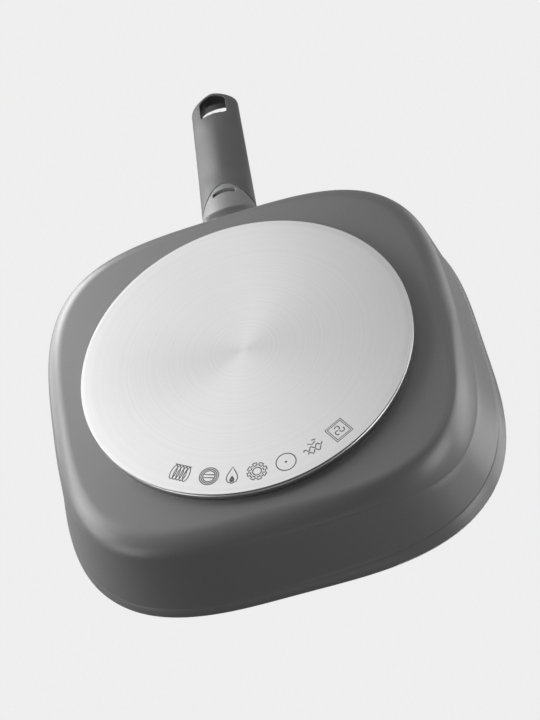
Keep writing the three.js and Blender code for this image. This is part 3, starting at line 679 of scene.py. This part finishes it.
def make_rib(number):
    """One rib of the floor, counted from the middle one."""
    y = number * RIB_PITCH
    power = power_at(FLOOR_TOP)
    half = (RIB_FIELD ** power - (abs(y) + RIB_FOOT / 2) ** power) ** (1 / power)
    low, high = FLOOR_TOP - RIB_SINK, FLOOR_TOP + RIB_HEIGHT
    bpy.ops.object.select_all(action="DESELECT")
    bpy.ops.mesh.primitive_cube_add(size=1, location=(0, 0, 0))
    rib = bpy.context.object
    bpy.ops.object.mode_set(mode="EDIT")
    bpy.ops.transform.resize(value=(2 * half * MM, RIB_FOOT * MM, (high - low) * MM))
    bpy.ops.transform.translate(value=(0, y * MM, (low + high) / 2 * MM))
    skin = bmesh.from_edit_mesh(rib.data)
    for face in skin.faces:
        face.select_set(face.normal.z > FACES_UP)
    bmesh.update_edit_mesh(rib.data)
    bpy.ops.transform.resize(value=(1 - RIB_SLOPE / half, RIB_TOP_SHARE, 1),
                             center_override=(0, y * MM, high * MM))
    bpy.ops.mesh.select_mode(type="EDGE")
    skin = bmesh.from_edit_mesh(rib.data)
    for edge in skin.edges:
        edge.select_set(sum(point.co.z for point in edge.verts) / 2 > (low + ROUND_FROM) * MM)
    bmesh.update_edit_mesh(rib.data)
    bpy.ops.mesh.bevel(offset=RIB_ROUND * MM, segments=ROUND_STEPS)
    bpy.ops.object.mode_set(mode="OBJECT")
    return rib


side_ribs = int((RIB_FIELD - RIB_FOOT) // RIB_PITCH)
ribs = [make_rib(number) for number in range(-side_ribs, side_ribs + 1)]
print("ribs:", len(ribs), "longest", round(max(rib.dimensions.x for rib in ribs) / MM), "mm")

# %% [markdown]
# On the real pan the ribs are cast with the floor. A Boolean union makes them one skin with it, so no
# face is left inside the metal. The casting then gets its coat and its place among the bodies: it
# stays with the pan and stands for the solid of the same piece.

# %% Join the ribs and finish the casting
SMOOTH_BELOW = 35


def pick(*pieces):
    """Selects these pieces alone, with the first one active."""
    bpy.ops.object.select_all(action="DESELECT")
    for piece in pieces:
        piece.select_set(True)
    bpy.context.view_layer.objects.active = pieces[0]


def apply_modifier(piece, name):
    pick(piece)
    bpy.ops.object.modifier_apply(modifier=name)


def shade(piece, angle=SMOOTH_BELOW):
    """Shades a piece smooth, apart from edges that bend by more than an angle in degrees."""
    pick(piece)
    bpy.ops.object.shade_smooth_by_angle(angle=math.radians(angle))


def hand_over(piece, look, body, slot, *nodes):
    """Gives a piece its finish, its body and the solids that it stands for."""
    piece.data.materials.clear()
    piece.data.materials.append(look)
    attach(piece, body)
    if nodes:
        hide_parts(*nodes)


pick(*ribs)
bpy.ops.object.join()
joined = bpy.context.object
union = casting.modifiers.new("ribs", "BOOLEAN")
union.operation = "UNION"
union.solver = "EXACT"
union.object = joined
apply_modifier(casting, "ribs")
bpy.data.objects.remove(joined)
shade(casting)
hand_over(casting, coated, "pan", "coated_casting", "pan_body")
print(casting.name, "with its ribs", len(casting.data.polygons), "faces")

# %% [markdown]
# ## The hob base
# A turned aluminium core is pressed onto the floor, and a steel plate covers its face so that every
# hob can heat it. Both are lathe work, so they are drawn up from rings as the casting was, here with
# true circles. Near its edge the plate bends up into a narrow rim, and the bend shows as a thin line,
# because the plate is shaded smooth only across bends smaller than that one.

# %% Turn the core and the plate
RIM_BEND = 6
PLATE_RINGS = [(3, 0), (45, 0), (86, 0), (88.1, 0), (88.3, 0.002), (88.5, 0.006), (91.6, 0.055),
               (91.7, 0.085), (91.75, 0.16), (91.75, 1.18), (88, 1.18), (3, 1.18)]
CORE_RINGS = [(3, 1.22), (88, 1.22), (91.0, 1.22), (91.25, 1.3), (91.3, 1.7), (91.7, 2.1),
              (91.75, 2.3), (91.75, 5.0), (91.5, 5.4), (91.2, 5.58), (88, 5.58), (3, 5.58)]


def ring(radius, z):
    return lambda angle: (radius, z)


plate = draw_up("base_plate", [ring(*row) for row in PLATE_RINGS])
core = draw_up("base_core_ring", [ring(*row) for row in CORE_RINGS])
shade(plate, RIM_BEND)
shade(core)
hand_over(plate, turned_steel, "pan", "turned_steel", "induction_plate")
hand_over(core, turned_aluminium, "pan", "turned_aluminium", "base_core")
for piece in (plate, core):
    print(piece.name, [round(size / MM, 1) for size in piece.dimensions], "mm")

# %% [markdown]
# ## Signs on the base
# Seven small signs say which hobs the pan suits. They are etched dark into the steel. Each is a set of
# lines about its own middle, in millimetres, and most of them come from circles and waves.


# %% Draw the lines of the signs
def circle(radius, a=0.0, b=0.0, start=0, end=360, steps=36):
    turns = [math.radians(start + (end - start) * i / steps) for i in range(steps + 1)]
    return [(a + radius * math.cos(t), b + radius * math.sin(t)) for t in turns]


def dash(radius, number):
    start = number * 45 + radius * 25
    return circle(radius, start=start, end=start + 31, steps=8)


def blade(turn):
    a, b = 1.6 * math.cos(math.radians(turn)), 1.6 * math.sin(math.radians(turn))
    return circle(1.25, a, b, start=turn - 170, end=turn + 60, steps=14)


coil_turns = [i * math.tau / 24 for i in range(121)]
coil = [(-5 + 9.6 * i / 120 + 1.9 * math.sin(t), 4.6 * math.cos(t)) for i, t in enumerate(coil_turns)]
drop = [(0, 5.2), (1.4, 2.6), (2.6, 0.2), (3, -1.8), (2.3, -3.8), (0, -4.8)]
drop += [(-a, b) for a, b in reversed(drop[:-1])]
core_drop = [[(k * a * 0.36, k * b * 0.36 - 2.2) for a, b in drop] for k in (1, 0.7, 0.4)]
dashes = [dash(radius, number) for radius in (5.2, 4.3, 3.4) for number in range(8)]
wave = [(-5.4 + 10.8 * i / 40, 0.7 + 0.9 * math.sin(i * math.tau / 13)) for i in range(41)]
swell = [(-4 + 8 * i / 30, -1.9 + 0.9 * math.sin(i * math.tau / 13)) for i in range(31)]
frames = [[(-k, -k), (k, -k), (k, k), (-k, k), (-k, -k)] for k in (5.2, 4.3)]
signs = {
    -147.2: [coil],
    -158.5: [circle(5.1), circle(4.2), circle(3.3), [(-3, 0.9), (3, 0.9)], [(-3, -0.9), (3, -0.9)]],
    -167.3: [drop] + core_drop,
    -176.5: dashes + [circle(2.3)],
    -187.4: [circle(5.2), circle(0.35), circle(0.15)],
    -198.4: [wave, swell, [(-1.6, 4.2), (0.4, 2.4), (2.6, 3.6)], [(1.2, 5), (3.4, 4.4)]],
    -209.6: frames + [blade(turn) for turn in (90, 210, 330)],
}
print("signs:", len(signs), "lines:", sum(len(lines) for lines in signs.values()))

# %% [markdown]
# A line becomes a stroke: a curve with a round section, set at its sign's angle about the disc and
# turned towards the middle. All strokes are then made one mesh and pressed flat, so they lie on the
# face like ink.

# %% Etch the signs
SIGN_RADIUS = 80.9
STROKE = 0.3
FLAT_SHARE = 0.08


def sign_place(turn, a, b):
    """A point of a sign: a to its right and b up, where up is towards the disc's middle."""
    away = math.radians(turn)
    x = (SIGN_RADIUS - b) * math.cos(away) + a * math.sin(away)
    y = (SIGN_RADIUS - b) * math.sin(away) - a * math.cos(away)
    return x * MM, y * MM, 0.0


def make_stroke(turn, line):
    """A curve along a line, closed where the line ends at its start."""
    path = bpy.data.curves.new("stroke", "CURVE")
    path.dimensions = "3D"
    path.bevel_depth = STROKE * MM
    path.bevel_resolution = 1
    path.use_fill_caps = True
    run = path.splines.new("POLY")
    run.use_cyclic_u = math.dist(line[0], line[-1]) < 0.001
    places = line[:-1] if run.use_cyclic_u else line
    run.points.add(len(places) - 1)
    for point, (a, b) in zip(run.points, places):
        point.co = (*sign_place(turn, a, b), 1)
    stroke = bpy.data.objects.new("stroke", path)
    bpy.context.collection.objects.link(stroke)
    return stroke


strokes = [make_stroke(turn, line) for turn, lines in signs.items() for line in lines]
pick(*strokes)
bpy.ops.object.convert(target="MESH")
bpy.ops.object.join()
marks = bpy.context.object
marks.name = "hob_signs"
bpy.ops.object.mode_set(mode="EDIT")
bpy.ops.mesh.select_all(action="SELECT")
bpy.ops.mesh.remove_doubles(threshold=0.000001)
bpy.ops.mesh.normals_make_consistent(inside=False)
bpy.ops.transform.resize(value=(1, 1, FLAT_SHARE), center_override=(0, 0, 0))
bpy.ops.object.mode_set(mode="OBJECT")
hand_over(marks, etched, "pan", "turned_steel")
print("strokes:", len(strokes), "height", round(marks.dimensions.z / MM, 3), "mm")

# %% [markdown]
# ## Grip, cover and button
# These are moulded pieces with soft edges all round. A copy of the solid is merged, remeshed into even
# small faces and smoothed a few times: that rounds every edge by about the same small radius, as a
# mould does, and keeps the place and size of the solid.


# %% Even out the grip's skin
def copy_of(node, name):
    """A merged copy of a solid, as an object of its own."""
    piece = bpy.data.objects.new(name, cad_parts[node].data.copy())
    bpy.context.collection.objects.link(piece)
    pick(piece)
    bpy.ops.object.mode_set(mode="EDIT")
    bpy.ops.mesh.select_all(action="SELECT")
    bpy.ops.mesh.remove_doubles(threshold=0.000002)
    bpy.ops.object.mode_set(mode="OBJECT")
    return piece


def evened(node, name, grid):
    """A copy of a solid with its skin rebuilt from small even faces."""
    piece = copy_of(node, name)
    remesh = piece.modifiers.new("even", "REMESH")
    remesh.mode = "VOXEL"
    remesh.voxel_size = grid
    apply_modifier(piece, "even")
    return piece


def softened(piece, passes):
    """Rounds the edges of an evened skin by smoothing it a few times."""
    soften = piece.modifiers.new("soften", "SMOOTH")
    soften.factor = 0.5
    soften.iterations = passes
    apply_modifier(piece, "soften")
    bpy.ops.object.shade_smooth()


grip = evened("handle_grip", "grip_moulding", grid=0.00055)
print(grip.name, len(grip.data.polygons), "faces")

# %% [markdown]
# The grip's underside is two nearly flat faces with a blunt keel between them. The solid is rounder
# there, so the evened skin is drawn in beside the keel before it is smoothed. The section of the
# underside is a superellipse, and a lower power gives flatter faces. Places on the handle are given
# as u along it and w up from it, in millimetres.

# %% Draw the grip's keel
ALONG, UP = Vector((0.97437, 0, 0.224951)), Vector((-0.224951, 0, 0.97437))
HANDLE_ROOT = Vector((0.1238, 0, 0.03))
GRIP_FRONT, GRIP_END = 10.0, 159.0
HALF_FRONT, HALF_END = 17.4, 16.3
KEEL_FRONT, KEEL_END = 10.5, 7.0
KEEL_ROUND, KEEL_CRISP, KEEL_BLUNT = 1.75, 1.42, 0.2
KEEL_SKIN = 0.9
KEEL_IN, KEEL_OUT = (52, 74), (120, 143)


def on_handle(place):
    reach = place - HANDLE_ROOT
    return reach.dot(ALONG) / MM, reach.dot(UP) / MM


def section(out, down, power):
    """1 on a superellipse of this power, less inside it."""
    return (out ** power + down ** power) ** (1 / power)


def draw_keel(piece):
    """Flattens the two faces of the grip's underside, so a clearer keel runs between them."""
    for point in piece.data.vertices:
        u, w = on_handle(point.co)
        share = share_of(u, GRIP_FRONT, GRIP_END)
        half = HALF_FRONT + (HALF_END - HALF_FRONT) * share
        keel = KEEL_FRONT + (KEEL_END - KEEL_FRONT) * share
        out, down = abs(point.co.y) / MM / half, (keel - w) / keel
        if down <= 0 or section(out, down, KEEL_ROUND) < KEEL_SKIN:
            continue
        blunt = math.hypot(out, KEEL_BLUNT)
        crisp = section(blunt, down, KEEL_ROUND) / section(blunt, down, KEEL_CRISP)
        fade = smooth_step(u, *KEEL_IN) * (1 - smooth_step(u, *KEEL_OUT))
        pull = 1 + (crisp - 1) * fade
        point.co.y *= pull
        point.co += UP * ((keel - w) * (1 - pull) * MM)


draw_keel(grip)
softened(grip, passes=5)
print(grip.name, round(grip.dimensions.x / MM), "mm long,", round(grip.dimensions.y / MM), "mm wide")

# %% [markdown]
# The hanging hole has a straight end towards the pan and an arch at the other, and it flares above the
# line where the two halves of the mould meet. Points on its wall, and a narrow blend beside it, are
# marked for the painted shade made earlier, which darkens the inside of the hole.

# %% Mark the hanging hole's wall for painted shade
HOLE_NEAR, HOLE_ARCH_START = 143.0, 160.9
HOLE_ARCH_LONG, HOLE_HALF = 7.5, 8.7
HOLE_FLARE, PARTING, CROWN = 2.6, 7.0, 6.8
HOLE_SHADE_REACH, HOLE_SHADE_BLEND = 0.7, 0.4


def hole_gap(place):
    """How far in mm a point of the handle is outside the wall of the hanging hole."""
    u, w = on_handle(place)
    across = abs(place.y) / MM
    widened = HOLE_FLARE * max(w - PARTING, 0) / CROWN
    if u > HOLE_ARCH_START:
        arch = math.hypot((u - HOLE_ARCH_START) / HOLE_ARCH_LONG, across / HOLE_HALF)
        return (arch - 1) * HOLE_ARCH_LONG - widened
    return max(across - HOLE_HALF, HOLE_NEAR - u) - widened


# Painted shade: each point gets how far it lies on the hole's wall, where the colour is darkened.
shaded_hole = grip.data.attributes.new("painted_hole_shade", "FLOAT", "POINT")
for point, mark in zip(grip.data.vertices, shaded_hole.data):
    mark.value = min(max((HOLE_SHADE_REACH - hole_gap(point.co)) / HOLE_SHADE_BLEND, 0), 1)
hand_over(grip, soft_touch, "handle", "soft_touch", "handle_grip")
print("bare points:", sum(mark.value > 0.5 for mark in shaded_hole.data))

# %% [markdown]
# The cover closes the grip's top over the catch, and the thumb button stands in an opening of it. Both
# have finer edges than the grip, so their skins are evened on a finer grid.

# %% Soften the cover and the button
cover = evened("handle_cover", "cover_moulding", grid=0.0005)
softened(cover, passes=4)
hand_over(cover, soft_touch, "handle", "soft_touch", "handle_cover")
button = evened("release_button", "thumb_button", grid=0.0004)
softened(button, passes=4)
hand_over(button, soft_touch, "button", "soft_touch", "release_button")
print(cover.name, len(cover.data.polygons), "faces,", button.name, len(button.data.polygons), "faces")

# %% [markdown]
# ## The neck
# The neck is cast and coated like the pan, in a lighter grey. Its underside runs straight towards the
# pan and ends in a crisp edge, where it turns up steeply. In the solid that is one soft hollow, so the
# evened skin is moved to the straight line before the edge and up past it, and is then smoothed.

# %% Shape the neck
EDGE_PLACE, EDGE_BOW = 145.2, 0.012
HOLLOW_MIDDLE, HOLLOW_SPAN, HOLLOW_DEEP = 136.8, 11.2, 5
UNDER_SLOPE, STEEP_SLOPE, STEEP_HIGH = 0.225, 2.6, 4.6
UNDER_TOP, UNDER_FULL = 43.5, 38.5
NECK_HALF = 18.8
NECK_START, NECK_FULL = 136, 139

neck = evened("handle_bracket", "neck_casting", grid=0.0004)
for point in neck.data.vertices:
    x, y, z = (value / MM for value in point.co)
    hollow = HOLLOW_DEEP * math.cos(min(abs(x - HOLLOW_MIDDLE) / HOLLOW_SPAN, 1) * math.pi / 2) ** 2
    past = max(EDGE_PLACE + EDGE_BOW * y * y - x, 0)
    wanted = UNDER_SLOPE * past + min(STEEP_SLOPE * past, STEEP_HIGH)
    under = share_of(z, UNDER_TOP, UNDER_FULL) * max(1 - (y / NECK_HALF) ** 2, 0)
    point.co.z += (wanted - hollow) * under * share_of(x, NECK_START, NECK_FULL) * MM
softened(neck, passes=3)
hand_over(neck, neck_coat, "pan", "coated_casting", "handle_bracket")
print(neck.name, len(neck.data.polygons), "faces")

# %% [markdown]
# ## Metal pieces
# Bar, rocker, pin, screws and rivets are stamped or turned. Their edges are never quite sharp, so each
# piece is a copy of its solid with a narrow bevel, which catches the light along the edges.

# %% Bevel the metal pieces
SHARP, ROUND_HEAD = 30, 50
CRISP_ABOVE = 40


def bevelled(node, name, width, angle=SHARP):
    """A copy with a narrow bevel on each edge that bends by more than an angle in degrees."""
    piece = copy_of(node, name)
    edge = piece.modifiers.new("edge", "BEVEL")
    edge.width = width
    edge.segments = 2
    edge.limit_method = "ANGLE"
    edge.angle_limit = math.radians(angle)
    edge.use_clamp_overlap = True
    apply_modifier(piece, "edge")
    shade(piece, CRISP_ABOVE)
    return piece


for node, name, width, body in (("tang", "tang_bar", 0.00025, "handle"),
                                ("latch", "latch_rocker", 0.00015, "catch"),
                                ("latch_pin", "latch_pivot_pin", 0.00012, "handle"),
                                ("tang_screw_front", "screw_front", 0.0001, "handle"),
                                ("tang_screw_rear", "screw_rear", 0.0001, "handle")):
    piece = bevelled(node, name, width)
    hand_over(piece, plain_steel, body, "plain_steel", node)
    print(name, len(piece.data.polygons), "faces")
for node in ("rivet_left", "rivet_right"):
    piece = bevelled(node, node + "_head", width=0.0001, angle=ROUND_HEAD)
    hand_over(piece, turned_aluminium, "pan", "turned_aluminium", node)
    print(piece.name, len(piece.data.polygons), "faces")

# %% [markdown]
# The spring stands under the rocker's tail and pushes it back up. When the button goes down, the rocker
# turns and the coil gets shorter. Here the spring is a bevelled copy of its solid, given a mesh of its own.

# %% Fit the spring
WIRE_SHARP = 80

spring = bevelled("latch_spring", "spring_coil", width=0.00002, angle=WIRE_SHARP)
hand_over(spring, plain_steel, "handle", "plain_steel", "latch_spring")
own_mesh(spring)
print(spring.name, len(spring.data.polygons), "faces, shortens with the rocker")
